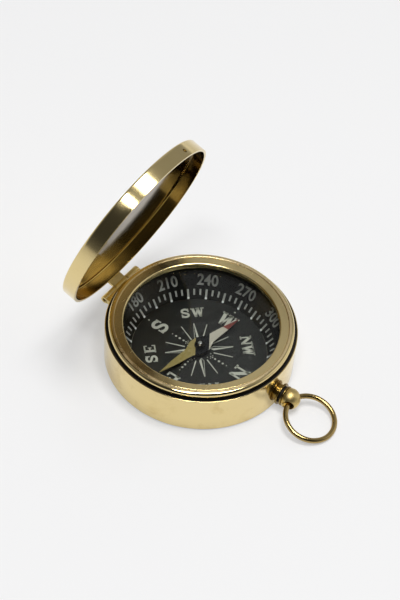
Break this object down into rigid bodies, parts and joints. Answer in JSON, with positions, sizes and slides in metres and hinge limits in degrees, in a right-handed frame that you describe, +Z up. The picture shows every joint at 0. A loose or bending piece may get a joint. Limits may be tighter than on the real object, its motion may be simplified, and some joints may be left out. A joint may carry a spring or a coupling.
{
  "type": "pocket compass",
  "caption": "Round brass pocket compass with a hinged lid open over its dial, a deep degree ring under glass, a pivoted needle, and a ball stem with a ring bow.",
  "frame": {"origin": "centre of the case's flat underside", "axes": "+Z up out of the dial, +Y towards the lid's hinge, -Y along the stem to the bow; the dial's north mark is towards the stem"},
  "size_m": [0.05, 0.0746, 0.0597],
  "materials": {
    "case_brass": "polished",
    "bezel_brass": "polished",
    "glass": "clear",
    "steel": "plain",
    "dial_black": "satin black with white print",
    "card": "plain",
    "needle_steel": "satin, north end painted",
    "jewel": "polished"
  },
  "bodies": {
    "case": {"case_body": "case_brass", "bezel_ring": "bezel_brass", "retaining_ring": "bezel_brass", "glass": "glass", "spring_ring": "steel", "degree_ring": "dial_black", "dial": "dial_black", "dial_backing": "card", "pivot_post": "case_brass", "pivot_pin": "steel", "case_knuckle_left": "case_brass", "case_knuckle_right": "case_brass", "hinge_pin": "steel", "stem_collar": "case_brass", "stem": "case_brass", "stem_nut": "steel"},
    "needle_body": {"needle": "needle_steel", "needle_cap": "case_brass", "cap_jewel": "jewel"},
    "lid": {"lid_shell": "case_brass", "lid_catch": "case_brass", "lid_knuckle": "case_brass"},
    "bow": {"bow_ring": "case_brass"}
  },
  "joints": [
    {"name": "lid_hinge", "type": "hinge", "parent": "case", "child": "lid", "pos_m": [0, 0.0262, 0.00907], "axis": [-1, 0, 0], "range_deg": [-72.3, 37.7]},
    {"name": "needle_turn", "type": "hinge", "parent": "case", "child": "needle_body", "pos_m": [0, 0, 0.003], "axis": [0, 0, 1], "continuous": true},
    {"name": "bow_swing", "type": "hinge", "parent": "case", "child": "bow", "pos_m": [0, -0.0294, 0.0034], "axis": [-1, 0, 0], "range_deg": [-88, 112]}
  ]
}
